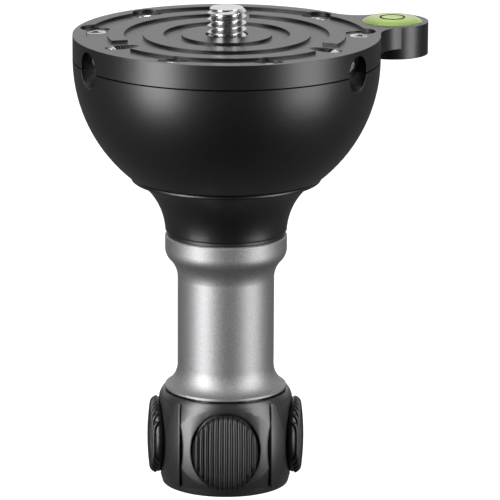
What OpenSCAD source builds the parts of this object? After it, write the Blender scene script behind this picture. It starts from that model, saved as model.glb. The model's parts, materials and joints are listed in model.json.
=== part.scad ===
// Half-ball levelling base for a 75 mm bowl, clamped from below by a turning knob.
// Millimetres, Z up. The foot of the knob stands on z = 0 and X points along the lug of the level.

/* [Half ball] */
// diameter of the half ball, the bowl size
ball_d = 75; // [73:0.5:77]
// wall of the half ball
ball_wall = 7; // [6:0.5:8]
// width of the flange that takes the plate screws
flange_w = 10; // [9.5:0.25:11]
// thickness of the floor that the draw rod hangs from
floor_t = 8; // [7.5:0.25:9.5]
// radius of the flat under the half ball
ball_flat_r = 10; // [8:0.5:12]
// depth of the turned step that takes the collar's lip
lip_step = 1.1; // [0.9:0.05:1.3]

/* [Top plate] */
// thickness of the plate
plate_t = 6; // [5.5:0.25:7]
// depth of the turned recesses in the top face
relief_t = 0.7; // [0.4:0.1:0.9]
// radius of the centre land
land_1_r = 11; // [10:0.25:12]
// outer radius of the first recess
groove_1_r = 15.4; // [14.5:0.1:16.5]
// outer radius of the middle land
land_2_r = 20.4; // [19:0.1:21.5]
// outer radius of the second recess
groove_2_r = 25; // [24:0.1:26]
// outer radius of the outer land
land_3_r = 29; // [28:0.1:30]
// width of the rim outside the last recess
rim_w = 3.3; // [2.5:0.1:4]
// half angle of the gaps in the outer land
gap_half = 10; // [9:0.5:12]
// depth of the locating spigot under the plate
spigot_t = 2; // [1:0.25:3]

/* [Lug and level] */
// distance from the plate's edge to the middle of the level
lug_out = 6.75; // [6:0.05:8.5]
// radius of the lug's boss
lug_r = 8.9; // [8.6:0.1:10]
// height of the boss
lug_t = 8; // [7.5:0.25:10]
// thickness of the neck between plate and boss
neck_t = 5.4; // [4.5:0.1:5.9]
// fillet radius where the neck meets the plate
neck_fillet = 8; // [6:0.5:11]
// radius of the level
vial_r = 7.6; // [7.2:0.1:7.9]
// thickness of the plate left under the level
vial_floor = 0.5; // [0.4:0.05:1]
// how far the level's rim stands above the plate
vial_proud = 0.6; // [0.3:0.1:1]
// dome radius of the level's window
vial_dome_r = 90; // [60:1:140]
// radius of the fluid chamber
chamber_r = 6.5; // [6:0.1:6.7]
// thickness of the window at its edge
window_t = 1.2; // [0.9:0.1:1.6]
// thickness of the base disc of the level
vial_base_t = 1.4; // [1:0.1:2]
// inner radius of the printed ring
mark_r = 2.75; // [2.6:0.05:3.5]
// width of the printed ring
mark_w = 0.4; // [0.25:0.05:0.6]
// radius of the bubble where it meets the window
bubble_r = 2.35; // [1.6:0.05:2.5]
// height of the bubble
bubble_h = 1.1; // [0.7:0.1:1.5]

/* [Head stud] */
// thread radius of the stud, three eighths of an inch across
stud_r = 4.7625; // [4.5:0.0125:5]
// thread pitch of the stud, sixteen to the inch
stud_pitch = 1.5875; // [1.25:0.0125:1.75]
// depth of the stud's thread
stud_thread_t = 0.9; // [0.6:0.05:1]
// radius of the plain shank below the thread
shank_r = 4.4; // [4:0.05:4.55]
// how far the stud stands above the plate
stud_h = 6.6; // [5.5:0.1:9]
// radial room round the thread in the plate's top face
stud_room = 0.45; // [0.3:0.05:0.8]
// depth of that room below the plate's top face
stud_room_t = 0.5; // [0.3:0.05:0.65]
// thickness of the jam nut on the stud
stud_nut_t = 5; // [4:0.25:6]
// width of the jam nut across its flats
stud_nut_af = 14.3; // [13:0.1:16]

/* [Plate screws] */
// distance from the plate's edge to a screw
screw_edge = 4.8; // [4.6:0.1:5.2]
// half angle between the two screws of a pair
screw_half = 20.5; // [18:0.5:23]
// turn of the screw pattern away from the lug
pattern_turn = 4.5; // [0:0.5:8]
// shank radius of a plate screw
screw_r = 1.5; // [1.25:0.05:1.6]
// head radius of a plate screw
screw_head_r = 2.8; // [2.5:0.05:3]
// length of a plate screw below its head
screw_len = 11; // [9:0.5:12]
// radius of the counterbore over a plate screw
screw_bore_r = 3.9; // [3.5:0.1:4.1]
// depth of a screw's head below the recess floor
screw_sink = 0.3; // [0.1:0.05:0.5]
// width of the key socket in a plate screw
screw_key_af = 2; // [1.5:0.1:2.2]

/* [Lock screws] */
// radius of a lock screw
lock_r = 2; // [1.75:0.05:2.2]
// length of a lock screw
lock_len = 6; // [5:0.25:6.5]
// angle of a lock screw from the level
lock_tilt = 28; // [26:0.5:31]
// height of a lock screw's axis above the seam, at the rim
lock_rise = 0.3; // [0:0.1:0.6]
// depth of a lock screw's end below the rim
lock_depth = 2.6; // [2:0.1:3.2]
// radius of the key hole in the rim
access_r = 4; // [3.4:0.1:4.4]
// depth of the key hole along the screw
access_t = 3; // [2.6:0.1:3.4]
// thread pitch of the lock screw's hole
lock_pitch = 0.7; // [0.5:0.05:0.8]
// depth of the thread in the lock screw's hole
lock_thread_t = 0.3; // [0.15:0.05:0.35]
// width of the key socket in a lock screw
lock_key_af = 2; // [1.5:0.1:2.2]

/* [Draw rod] */
// radius of the draw rod
rod_r = 5; // [4:0.1:5.2]
// width of the rod's hexagon head across its flats
rod_head_af = 17; // [14:0.1:18]
// height of the rod's head
rod_head_t = 6.4; // [5:0.1:8]
// depth of the hexagon pocket that keeps the rod from turning
rod_pocket = 3; // [2:0.25:3.5]
// height of the rod's lower end above the foot
rod_end_z = 6; // [5:0.25:8]
// thickness of the washer under the rod's head
rod_washer_t = 1; // [0.6:0.1:1.2]

/* [Clamp collar] */
// thickness of the collar's web under the ball
collar_web = 6.35; // [5.6:0.05:8]
// radius of the collar at its lower end
collar_r = 14.9; // [14.5:0.1:15.2]
// depth at which the hollow flare starts below the collar
flare_drop = 0.75; // [0.5:0.05:1]
// radius of the collar's lip
lip_r = 23.4; // [22.6:0.1:24.2]
// upright thickness of the lip beside its bead
lip_t = 0.65; // [0.5:0.05:0.9]
// radius of the round bead on the lip
bead_r = 0.6; // [0.4:0.05:0.7]
// free gap between the collar's seat and the half ball
seat_gap = 0.3; // [0.3:0.05:0.5]
// radius of the thin ring between collar and sleeve
ring_r = 14.3; // [13:0.1:14.6]
// thickness of that ring
ring_t = 0.8; // [0.6:0.1:1.5]

/* [Handle sleeve] */
// height of the sleeve
sleeve_h = 38.8; // [36:0.1:44]
// radius of the sleeve's upper end
head_r = 15; // [14.8:0.1:15.6]
// radius of the sleeve's waist
waist_r = 11.9; // [11.5:0.1:12.5]
// height of the straight band at the upper end
band_h = 3.4; // [3:0.1:6]
// rounding radius under the band
round_r = 4; // [3:0.25:5]
// hollow radius above the waist
hollow_r = 7.1; // [6:0.1:9]
// radius of the sleeve's foot
foot_r = 14.95; // [14.4:0.05:15.3]
// hollow radius of the lower flare
skirt_r = 6.25; // [5.5:0.05:7]
// height at which the lower flare starts
skirt_h = 5.9; // [5.4:0.05:6]
// bore radius of the sleeve
sleeve_bore_r = 7.5; // [7:0.1:8.5]
// length of a bush in the sleeve
bush_len = 9; // [6:0.5:12]

/* [Lock knob] */
// height of the knob
knob_h = 23.7; // [23.5:0.05:25]
// radius of the knob's body
knob_r = 16.55; // [16.4:0.05:16.9]
// rounding radius of the knob's shoulder
shoulder_r = 4.6; // [3.5:0.1:5.5]
// height of the straight side below the shoulder
shoulder_z = 20.8; // [20.4:0.1:21.2]
// bevel round the knob's foot
foot_bevel = 0.95; // [0.7:0.05:1.1]
// height over which the knob's side draws in to its foot
foot_rise = 6; // [5:0.1:7]
// greatest radius of the corner ridges
ridge_r = 18.5; // [18.2:0.05:18.8]
// distance of the corner ridges' sides from the middle planes of the grips
ridge_side = 11.2; // [11:0.05:11.5]
// bulge radius of the corner ridges
ridge_arc_r = 33; // [31:0.5:36]
// height of the middle of the corner ridges
ridge_z = 11.9; // [11.6:0.1:12.2]
// height of the lower end of the corner ridges
ridge_foot = 1.5; // [1.2:0.1:2.2]
// how far the corner ridges end below the knob's top
ridge_drop = 0.7; // [0.5:0.1:1.4]
// height of the widest place of ridges and grips
bulge_z = 11.3; // [11:0.1:11.8]
// turn of the knob about its axis as it stands in the picture
knob_turn_deg = -22.7; // [-45:0.1:45]
// thickness of the washer on top of the knob
knob_washer_t = 1.2; // [1:0.1:1.6]
// radius of the washer on top of the knob
knob_washer_r = 13; // [11:0.25:13.5]
// how far that washer stands above the knob
washer_proud = 0.4; // [0.2:0.05:0.6]
// outer radius of the threaded insert
insert_r = 8; // [7.5:0.1:9]
// length of the threaded insert
insert_len = 13.5; // [12:0.25:14]

/* [Grip pads] */
// width of a grip pad
pad_w = 17; // [16:0.1:17.4]
// height of a grip pad
pad_h = 19.8; // [19:0.1:20]
// height of the middle of a grip pad
pad_z = 11.6; // [11.3:0.05:11.7]
// greatest radius reached by the grip pads
pad_r = 19.4; // [19:0.05:20.2]
// bulge radius of a grip pad's face
pad_arc_r = 64; // [56:1:75]
// depth of the pocket that holds a grip pad
pad_seat = 0.8; // [0.5:0.05:1.1]
// height of the pad's face above its rounded shoulder
pad_step = 0.7; // [0.4:0.05:0.9]
// number of grooves across a grip pad
pad_grooves = 12; // [6:2:14]
// spacing of the grooves
pad_pitch = 1.22; // [1.1:0.02:1.3]
// radius of a groove
pad_groove_r = 0.42; // [0.3:0.02:0.48]
// depth of a groove
pad_groove_t = 0.4; // [0.2:0.02:0.4]

/* [Fits] */
// radial play of a turning or sliding fit
run_play = 0.06; // [0.04:0.01:0.09]
// play between thrust faces that turn on each other
thrust_play = 0.05; // [0.02:0.01:0.08]
// radial play of a part that is fixed in its place
fix_play = 0.02; // [0.01:0.01:0.04]
// radial play where the rod only passes through
pass_play = 0.4; // [0.3:0.05:0.6]

/* [Hidden] */
$fn = 128;
eps = 0.02;
over = 1;
blend = 0.03;
boss_play = 0.3;
hex_n = 6;
ball_r = ball_d / 2;
sleeve_z = knob_h + washer_proud + thrust_play;
sleeve_top = sleeve_z + sleeve_h;
ring_z = sleeve_top + thrust_play;
collar_z = ring_z + ring_t;
seat_ball_r = ball_r - lip_step;
seat_r = seat_ball_r + seat_gap;
seam_z = collar_z + collar_web + seat_r;
plate_z = seam_z + plate_t;
relief_z = plate_z - relief_t;
flat_z = seam_z - sqrt(pow(seat_ball_r, 2) - pow(ball_flat_r, 2));
floor_z = flat_z + floor_t;
cavity_r = ball_r - flange_w;
screw_circle_r = ball_r - screw_edge;
screw_top = relief_z - screw_sink;
screw_cone = screw_head_r - screw_r;
groove_3_r = ball_r - rim_w;
spigot_r = cavity_r - fix_play;
lug_reach = ball_r + lug_out;
insert_z = knob_h - knob_washer_t + washer_proud - insert_len;
foot_arc_r = (pow(foot_rise, 2) + pow(foot_bevel, 2)) / 2 / foot_bevel;
pad_in_r = knob_r - pad_seat;
lock_hole_r = lock_r + run_play;
lock_teeth = 14;
pair_step = 120;
lock_first = 60;
vial_z = seam_z + vial_floor;
vial_h = plate_t - vial_floor;
vial_rim_z = plate_z + vial_proud;
vial_dome_z = vial_rim_z - sqrt(pow(vial_dome_r, 2) - pow(vial_r, 2));
window_r = vial_dome_r - window_t;
vial_top = vial_dome_z + window_r;
bubble_arc = (pow(bubble_r, 2) + pow(bubble_h, 2)) / (2 * bubble_h);
bead_in = lip_r - bead_r;
bead_out = seat_r + bead_r;
bead_z = seam_z - sqrt(pow(bead_out, 2) - pow(bead_in, 2));
step_z = bead_z + bead_r + seat_gap;
flare_w = bead_in - collar_r;
flare_h = collar_web + seat_r - sqrt(pow(seat_r, 2) - pow(bead_in, 2)) - lip_t + flare_drop;
flare_r = (pow(flare_w, 2) + pow(flare_h, 2)) / (2 * flare_w);

black = [0.07, 0.07, 0.075];
grey = [0.55, 0.55, 0.56];
steel = [0.78, 0.78, 0.8];
brass = [0.75, 0.62, 0.32];
rubber = [0.05, 0.05, 0.05];
nylon = [0.86, 0.85, 0.8];
clear = [0.85, 0.95, 0.9, 0.4];
green = [0.78, 0.9, 0.3];

// a hexagon prism by its width across flats
module hexagon(af, h) {
    cylinder(r = af / 2 / cos(30), h = h, $fn = hex_n);
}

// a washer or bush
module ring(r_out, r_in, h) {
    difference() {
        cylinder(r = r_out, h = h);
        translate([0, 0, -over]) cylinder(r = r_in, h = h + 2 * over);
    }
}

// places its child at each of the six plate screws
module at_screws() {
    for (k = [0:2], side = [-1, 1])
        rotate([0, 0, pattern_turn + pair_step * k + side * screw_half])
            translate([screw_circle_r, 0, 0]) children();
}

// places its child on the axis of lock screw k: z runs from the rim inward and up
module at_lock(k) {
    rotate([0, 0, pattern_turn + lock_first + pair_step * k])
        translate([ball_r, 0, seam_z + lock_rise])
            rotate([0, lock_tilt - 90, 0]) children();
}

// outline of one thread tooth after another, for turning round the axis
function teeth(n, pitch, r_in, r_out, flat) = [
    for (i = [0:n - 1], p = [[r_in, flat], [r_out, pitch / 2 - flat / 2],
                             [r_out, pitch / 2 + flat / 2], [r_in, pitch - flat]])
        [p[0], i * pitch + p[1]]
];

// the threaded hole and the key hole of a lock screw
module lock_hole() {
    translate([0, 0, -2 * access_r]) cylinder(r = access_r, h = access_t + 2 * access_r);
    translate([0, 0, access_t - eps])
        cylinder(r = lock_hole_r, h = lock_teeth * lock_pitch + 2 * lock_r);
    translate([0, 0, access_t])
        rotate_extrude()
            polygon(concat([[0, 0]],
                teeth(lock_teeth, lock_pitch, lock_hole_r, lock_hole_r + lock_thread_t, lock_pitch / 8),
                [[0, lock_teeth * lock_pitch]]));
}

// the turned recesses of the top face, as a flat outline
module relief_outline() {
    reach = 2 * land_3_r;
    difference() {
        circle(r = groove_1_r);
        circle(r = land_1_r);
    }
    difference() {
        circle(r = groove_2_r);
        circle(r = land_2_r);
    }
    difference() {
        circle(r = groove_3_r);
        circle(r = land_3_r);
    }
    for (k = [0:2])
        rotate(pattern_turn + lock_first + pair_step * k)
            difference() {
                intersection() {
                    circle(r = (land_3_r + groove_3_r) / 2);
                    polygon([[0, 0], [reach, -reach * tan(gap_half)], [reach, reach * tan(gap_half)]]);
                }
                circle(r = (land_2_r + groove_2_r) / 2);
            }
}

// the lug seen from above, with hollow fillets into the round of the plate
module lug_outline() {
    near = ball_r + neck_fillet;
    far = lug_r + neck_fillet;
    cx = (pow(near, 2) - pow(far, 2) + pow(lug_reach, 2)) / (2 * lug_reach);
    cy = sqrt(pow(near, 2) - pow(cx, 2));
    difference() {
        polygon([[0, 0], [cx, -cy], [lug_reach, 0], [cx, cy]]);
        translate([cx, cy]) circle(r = neck_fillet + blend);
        translate([cx, -cy]) circle(r = neck_fillet + blend);
    }
    boss_outline();
}

// the round boss of the lug seen from above
module boss_outline() {
    translate([lug_reach, 0]) circle(r = lug_r);
}

module top_plate() {
    color(black) difference() {
        union() {
            translate([0, 0, plate_z - neck_t]) linear_extrude(neck_t) {
                circle(r = ball_r);
                lug_outline();
            }
            translate([0, 0, seam_z]) linear_extrude(plate_t - neck_t) {
                circle(r = ball_r);
                boss_outline();
            }
            translate([0, 0, plate_z - lug_t]) linear_extrude(lug_t - plate_t) difference() {
                boss_outline();
                circle(r = ball_r + boss_play);
            }
            translate([0, 0, seam_z - spigot_t]) cylinder(r = spigot_r, h = spigot_t);
        }
        translate([0, 0, relief_z]) linear_extrude(relief_t + over) relief_outline();
        at_screws() {
            translate([0, 0, screw_top]) cylinder(r = screw_bore_r, h = relief_t + screw_sink + over);
            translate([0, 0, screw_top - screw_cone])
                cylinder(r1 = screw_r, r2 = screw_head_r, h = screw_cone);
            translate([0, 0, seam_z - over]) cylinder(r = screw_r + fix_play, h = plate_t);
        }
        for (k = [0:2]) at_lock(k) lock_hole();
        translate([lug_reach, 0, vial_z]) cylinder(r = vial_r + fix_play, h = vial_h + over);
        translate([0, 0, seam_z - spigot_t - over])
            cylinder(r = shank_r + fix_play, h = plate_t + spigot_t + 2 * over);
        translate([0, 0, plate_z - stud_room_t])
            cylinder(r = stud_r + stud_room, h = stud_room_t + over);
    }
}

module half_ball() {
    color(black) difference() {
        rotate_extrude() difference() {
            intersection() {
                translate([0, seam_z]) circle(r = ball_r);
                translate([0, flat_z]) square([ball_r + over, seam_z - flat_z]);
            }
            intersection() {
                translate([0, seam_z]) circle(r = ball_r - ball_wall);
                translate([-over, floor_z]) square([cavity_r + over, seam_z - floor_z + over]);
            }
            translate([0, seam_z - spigot_t - over]) square([cavity_r, spigot_t + 2 * over]);
            difference() {
                translate([0, flat_z - over]) square([ball_r, step_z - flat_z + over]);
                translate([0, seam_z]) circle(r = seat_ball_r);
            }
        }
        at_screws() translate([0, 0, screw_top - screw_len - over])
            cylinder(r = screw_r + fix_play, h = screw_len + over);
        for (k = [0:2]) at_lock(k) lock_hole();
        translate([0, 0, floor_z - rod_pocket]) hexagon(rod_head_af + 2 * fix_play, rod_pocket + over);
        translate([0, 0, flat_z - over]) cylinder(r = rod_r + fix_play, h = floor_t + over);
    }
}

module head_stud() {
    n = floor(stud_h / stud_pitch);
    core = stud_r - stud_thread_t;
    foot = plate_z - plate_t - spigot_t - stud_nut_t;
    color(steel) union() {
        translate([0, 0, foot]) cylinder(r = shank_r, h = plate_z - foot);
        translate([0, 0, plate_z])
            rotate_extrude()
                polygon(concat([[0, -over], [core, -over]],
                    teeth(n, stud_pitch, core, stud_r, stud_pitch / 8),
                    [[core, stud_h], [0, stud_h]]));
    }
}

module stud_nut() {
    color(steel) difference() {
        translate([0, 0, seam_z - spigot_t - stud_nut_t]) hexagon(stud_nut_af, stud_nut_t);
        translate([0, 0, seam_z - spigot_t - stud_nut_t - over])
            cylinder(r = shank_r + fix_play, h = stud_nut_t + 2 * over);
    }
}

module plate_screws() {
    color(steel) at_screws() difference() {
        union() {
            translate([0, 0, screw_top - screw_cone])
                cylinder(r1 = screw_r, r2 = screw_head_r, h = screw_cone);
            translate([0, 0, screw_top - screw_len]) cylinder(r = screw_r, h = screw_len - screw_cone);
        }
        translate([0, 0, screw_top - screw_cone]) hexagon(screw_key_af, screw_cone + over);
    }
}

module lock_screw(k) {
    bevel = lock_r / 4;
    color(steel) at_lock(k) translate([0, 0, lock_depth]) difference() {
        union() {
            cylinder(r1 = lock_r - bevel, r2 = lock_r, h = bevel);
            translate([0, 0, bevel]) cylinder(r = lock_r, h = lock_len - 2 * bevel);
            translate([0, 0, lock_len - bevel]) cylinder(r1 = lock_r, r2 = lock_r - bevel, h = bevel);
        }
        translate([0, 0, -over]) hexagon(lock_key_af, lock_len / 3 + over);
    }
}

module lock_screw_a() {
    lock_screw(0);
}

module lock_screw_b() {
    lock_screw(1);
}

module lock_screw_c() {
    lock_screw(2);
}

module vial_cup() {
    color(clear) translate([lug_reach, 0, 0]) rotate_extrude() difference() {
        intersection() {
            translate([0, vial_z]) square([vial_r, vial_h + vial_r]);
            translate([0, vial_dome_z]) circle(r = vial_dome_r, $fn = 4 * $fn);
        }
        intersection() {
            translate([-over, vial_z - over]) square([chamber_r + over, vial_h + vial_r]);
            translate([0, vial_dome_z]) circle(r = window_r, $fn = 4 * $fn);
        }
    }
}

module vial_base() {
    color(nylon) translate([lug_reach, 0, vial_z]) cylinder(r = chamber_r, h = vial_base_t);
}

module vial_fluid() {
    color(green) translate([lug_reach, 0, 0]) rotate_extrude() difference() {
        intersection() {
            translate([0, vial_z + vial_base_t]) square([chamber_r, vial_h + vial_r]);
            translate([0, vial_dome_z]) circle(r = window_r, $fn = 4 * $fn);
        }
        translate([0, vial_top - bubble_h + bubble_arc]) circle(r = bubble_arc);
    }
}

module vial_mark() {
    ink = 0.08;
    color(black) translate([lug_reach, 0, 0]) rotate_extrude() intersection() {
        difference() {
            translate([0, vial_dome_z]) circle(r = vial_dome_r + ink, $fn = 4 * $fn);
            translate([0, vial_dome_z]) circle(r = vial_dome_r, $fn = 4 * $fn);
        }
        translate([mark_r, vial_z]) square([mark_w, vial_h + vial_r]);
    }
}

module draw_rod() {
    bevel = rod_r / 5;
    shelf = floor_z - rod_pocket + rod_washer_t;
    color(steel) union() {
        translate([0, 0, rod_end_z]) cylinder(r1 = rod_r - bevel, r2 = rod_r, h = bevel);
        translate([0, 0, rod_end_z + bevel]) cylinder(r = rod_r, h = shelf - rod_end_z);
        translate([0, 0, shelf]) hexagon(rod_head_af, rod_head_t);
    }
}

module rod_washer() {
    color(steel) translate([0, 0, floor_z - rod_pocket])
        ring(rod_head_af / 2 - fix_play, rod_r + fix_play, rod_washer_t);
}

module clamp_collar() {
    edge = 0.35;
    color(black) rotate_extrude() difference() {
        union() {
            difference() {
                translate([0, collar_z]) square([bead_in, ball_r]);
                translate([collar_r + flare_r, collar_z - flare_drop]) circle(r = flare_r);
                translate([0, seam_z - ball_r / 2]) square([ball_r, ball_r]);
            }
            translate([bead_in, bead_z]) circle(r = bead_r);
        }
        translate([0, seam_z]) circle(r = seat_r, $fn = 2 * $fn);
        translate([-over, collar_z - over]) square([rod_r + pass_play + over, ball_r]);
        polygon([[collar_r - edge, collar_z - eps], [collar_r + over, collar_z - eps],
                 [collar_r + over, collar_z + edge + over]]);
    }
}

module slip_ring() {
    color(steel) translate([0, 0, ring_z]) ring(ring_r, rod_r + pass_play, ring_t);
}

module handle_sleeve() {
    step = round_r + hollow_r;
    round_z = sleeve_top - band_h;
    hollow_z = round_z - sqrt(pow(step, 2) - pow(step - head_r + waist_r, 2));
    edge = 0.3;
    color(grey) rotate_extrude() difference() {
        union() {
            translate([0, sleeve_z]) square([waist_r, sleeve_h]);
            translate([0, round_z]) square([head_r, band_h - edge]);
            polygon([[0, sleeve_top - edge], [head_r, sleeve_top - edge], [head_r - edge, sleeve_top],
                     [0, sleeve_top]]);
            intersection() {
                translate([head_r - round_r, round_z]) circle(r = round_r);
                translate([0, round_z - round_r]) square([head_r + over, round_r + edge]);
            }
            difference() {
                polygon([[0, hollow_z], [waist_r + hollow_r, hollow_z], [head_r - round_r, round_z],
                         [0, round_z]]);
                translate([waist_r + hollow_r, hollow_z]) circle(r = hollow_r + blend / 2);
            }
            difference() {
                translate([0, sleeve_z]) square([foot_r, skirt_h]);
                translate([waist_r + skirt_r, sleeve_z + skirt_h]) circle(r = skirt_r);
            }
        }
        translate([-over, sleeve_z - over]) square([sleeve_bore_r + over, sleeve_h + 2 * over]);
    }
}

module bush(z) {
    color(nylon) translate([0, 0, z]) ring(sleeve_bore_r, rod_r + run_play, bush_len);
}

module upper_bush() {
    bush(sleeve_top - bush_len);
}

module lower_bush() {
    bush(sleeve_z);
}

// flat outline of a grip pad, drawn upright: shrink makes the smaller outline of its face
module pad_outline(shrink) {
    r = pad_w / 2 - shrink;
    lift = (pad_h - pad_w) / 2;
    translate([0, lift]) circle(r = r);
    translate([0, -lift]) circle(r = r);
    translate([-r, -lift]) square([2 * r, 2 * lift]);
}

// the pad's outline pushed straight out along X
module pad_block(shrink) {
    translate([0, 0, pad_z]) rotate([90, 0, 90]) linear_extrude(2 * pad_r) pad_outline(shrink);
}

// round body that bulges by the radius arc to the radius r at bulge_z
module barrel(r, arc) {
    rotate_extrude() intersection() {
        translate([r - arc, bulge_z]) circle(r = arc, $fn = 4 * $fn);
        square([2 * r, 2 * bulge_z]);
    }
}

// a corner ridge: the corner of a barrel, with sides square to the two grips beside it
module ridge() {
    intersection() {
        rotate_extrude() intersection() {
            translate([ridge_r - ridge_arc_r, ridge_z]) circle(r = ridge_arc_r, $fn = 4 * $fn);
            translate([0, ridge_foot]) square([2 * ridge_r, knob_h - ridge_drop - ridge_foot]);
        }
        translate([ridge_side, ridge_side, 0]) cube([ridge_r, ridge_r, knob_h]);
    }
}

module lock_knob() {
    blind = insert_z - rod_end_z + over;
    color(black) difference() {
        union() {
            rotate_extrude() union() {
                translate([0, foot_rise]) square([knob_r, shoulder_z - foot_rise]);
                intersection() {
                    translate([knob_r - foot_arc_r, foot_rise]) circle(r = foot_arc_r, $fn = 4 * $fn);
                    square([knob_r, foot_rise]);
                }
                intersection() {
                    translate([knob_r - shoulder_r, shoulder_z]) circle(r = shoulder_r);
                    translate([0, shoulder_z]) square([knob_r, knob_h - shoulder_z]);
                }
                translate([0, shoulder_z]) square([knob_r - shoulder_r, knob_h - shoulder_z]);
            }
            for (q = [0:3]) rotate([0, 0, knob_turn_deg + 90 * q]) ridge();
        }
        for (q = [0:3]) rotate([0, 0, knob_turn_deg + 90 * q]) difference() {
            pad_block(0);
            cylinder(r = pad_in_r, h = 2 * knob_h, center = true);
        }
        translate([0, 0, knob_h + washer_proud - knob_washer_t])
            cylinder(r = knob_washer_r + fix_play, h = knob_washer_t);
        translate([0, 0, insert_z]) cylinder(r = insert_r, h = knob_h);
        translate([0, 0, insert_z - blind]) cylinder(r = rod_r + pass_play, h = knob_h);
    }
}

module knob_insert() {
    color(brass) translate([0, 0, insert_z]) ring(insert_r, rod_r + run_play, insert_len);
}

module knob_washer() {
    color(steel) translate([0, 0, knob_h + washer_proud - knob_washer_t])
        ring(knob_washer_r, rod_r + pass_play, knob_washer_t);
}

module grip_pad(q) {
    centre = pad_r - pad_arc_r;
    sweep = atan(pad_h / pad_arc_r);
    color(rubber) rotate([0, 0, knob_turn_deg + 90 * q]) difference() {
        union() {
            intersection() {
                pad_block(0);
                barrel(pad_r - pad_step, pad_arc_r);
            }
            intersection() {
                pad_block(pad_step);
                barrel(pad_r, pad_arc_r);
            }
        }
        cylinder(r = pad_in_r, h = 3 * knob_h, center = true);
        for (i = [-(pad_grooves - 1) / 2:(pad_grooves - 1) / 2])
            rotate([0, 0, i * pad_pitch * 180 / PI / pad_r])
                translate([centre, 0, bulge_z]) rotate([90, 0, 0])
                    rotate_extrude(angle = 2 * sweep, start = -sweep, $fn = 4 * $fn)
                        translate([pad_arc_r + pad_groove_r - pad_groove_t, 0])
                            circle(r = pad_groove_r, $fn = $fn / 16);
    }
}

module grip_pad_a() {
    grip_pad(0);
}

module grip_pad_b() {
    grip_pad(1);
}

module grip_pad_c() {
    grip_pad(2);
}

module grip_pad_d() {
    grip_pad(3);
}

top_plate();
half_ball();
head_stud();
stud_nut();
plate_screws();
lock_screw_a();
lock_screw_b();
lock_screw_c();
vial_cup();
vial_base();
vial_fluid();
vial_mark();
draw_rod();
rod_washer();
clamp_collar();
slip_ring();
handle_sleeve();
upper_bush();
lower_bush();
lock_knob();
knob_insert();
knob_washer();
grip_pad_a();
grip_pad_b();
grip_pad_c();
grip_pad_d();
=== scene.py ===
# %% [markdown]
# # Dressing a half-ball levelling base
# A levelling base turns in the round bowl of a tripod. A satin black half ball sits in the bowl, a flat
# plate on top carries the head by a threaded stud, and a knob under a grey handle draws a flared collar up
# against the bowl from below. The solids of all these pieces are already made and stay where they are.
# This lesson gives every surface its real finish, and models again the few pieces whose look needs more
# than the solids hold: the stud, the screws, the rubber grips, the cheeks of the knob and the bubble level.

# %% Load the solids
import json
import math

import bpy
from mathutils import Matrix, Vector


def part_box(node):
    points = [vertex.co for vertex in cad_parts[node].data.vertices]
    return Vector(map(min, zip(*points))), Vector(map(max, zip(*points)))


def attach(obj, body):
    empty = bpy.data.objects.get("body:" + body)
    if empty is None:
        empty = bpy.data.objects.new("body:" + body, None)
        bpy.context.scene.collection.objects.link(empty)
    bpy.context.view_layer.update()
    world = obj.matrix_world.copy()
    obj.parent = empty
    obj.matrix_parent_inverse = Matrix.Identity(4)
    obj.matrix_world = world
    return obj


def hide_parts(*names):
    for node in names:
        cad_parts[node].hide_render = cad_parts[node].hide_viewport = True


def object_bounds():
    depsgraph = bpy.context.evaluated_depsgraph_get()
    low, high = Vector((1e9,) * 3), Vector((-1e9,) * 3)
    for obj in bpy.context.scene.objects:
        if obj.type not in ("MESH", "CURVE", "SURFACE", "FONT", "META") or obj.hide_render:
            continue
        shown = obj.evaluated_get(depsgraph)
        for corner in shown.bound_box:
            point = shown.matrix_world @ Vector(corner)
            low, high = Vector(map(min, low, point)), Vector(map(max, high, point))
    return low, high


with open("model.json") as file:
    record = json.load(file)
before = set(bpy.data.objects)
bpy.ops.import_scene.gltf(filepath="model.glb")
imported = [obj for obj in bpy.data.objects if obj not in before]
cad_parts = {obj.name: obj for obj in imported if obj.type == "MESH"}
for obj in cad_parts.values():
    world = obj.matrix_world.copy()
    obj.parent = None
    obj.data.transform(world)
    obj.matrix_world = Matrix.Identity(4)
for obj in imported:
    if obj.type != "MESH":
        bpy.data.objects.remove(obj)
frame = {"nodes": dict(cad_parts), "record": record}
nodes = frame["nodes"]
cad_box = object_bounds()
MM = 0.001
bpy.ops.object.select_all(action="DESELECT")
print("solids:", len(nodes), "box in mm:", [[round(c / MM, 1) for c in corner] for corner in cad_box])

# %% [markdown]
# ## The camera
# Product pictures like this one are taken from far away with a long lens, so the outline is almost square
# on. One could slide a camera about by hand until the picture looks right, but a long lens makes distance
# and focal length trade against each other. Here the place is given by a few plain measures: how far away,
# how high above the top plate, how steeply the view falls, and from which side.

# %% Camera
PICTURE_PIXELS = 500
SENSOR_MM = 36.0
FOCAL_PIXELS = 4613.4
VIEW_SIDE = math.radians(247.25)
VIEW_DISTANCE = 1098.9 * MM
VIEW_HEIGHT = 225.7 * MM
VIEW_FALL = math.radians(14.287)
VIEW_ROLL = math.radians(0.27)
AXIS_OFFSET_PIXELS = 24.75

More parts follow.
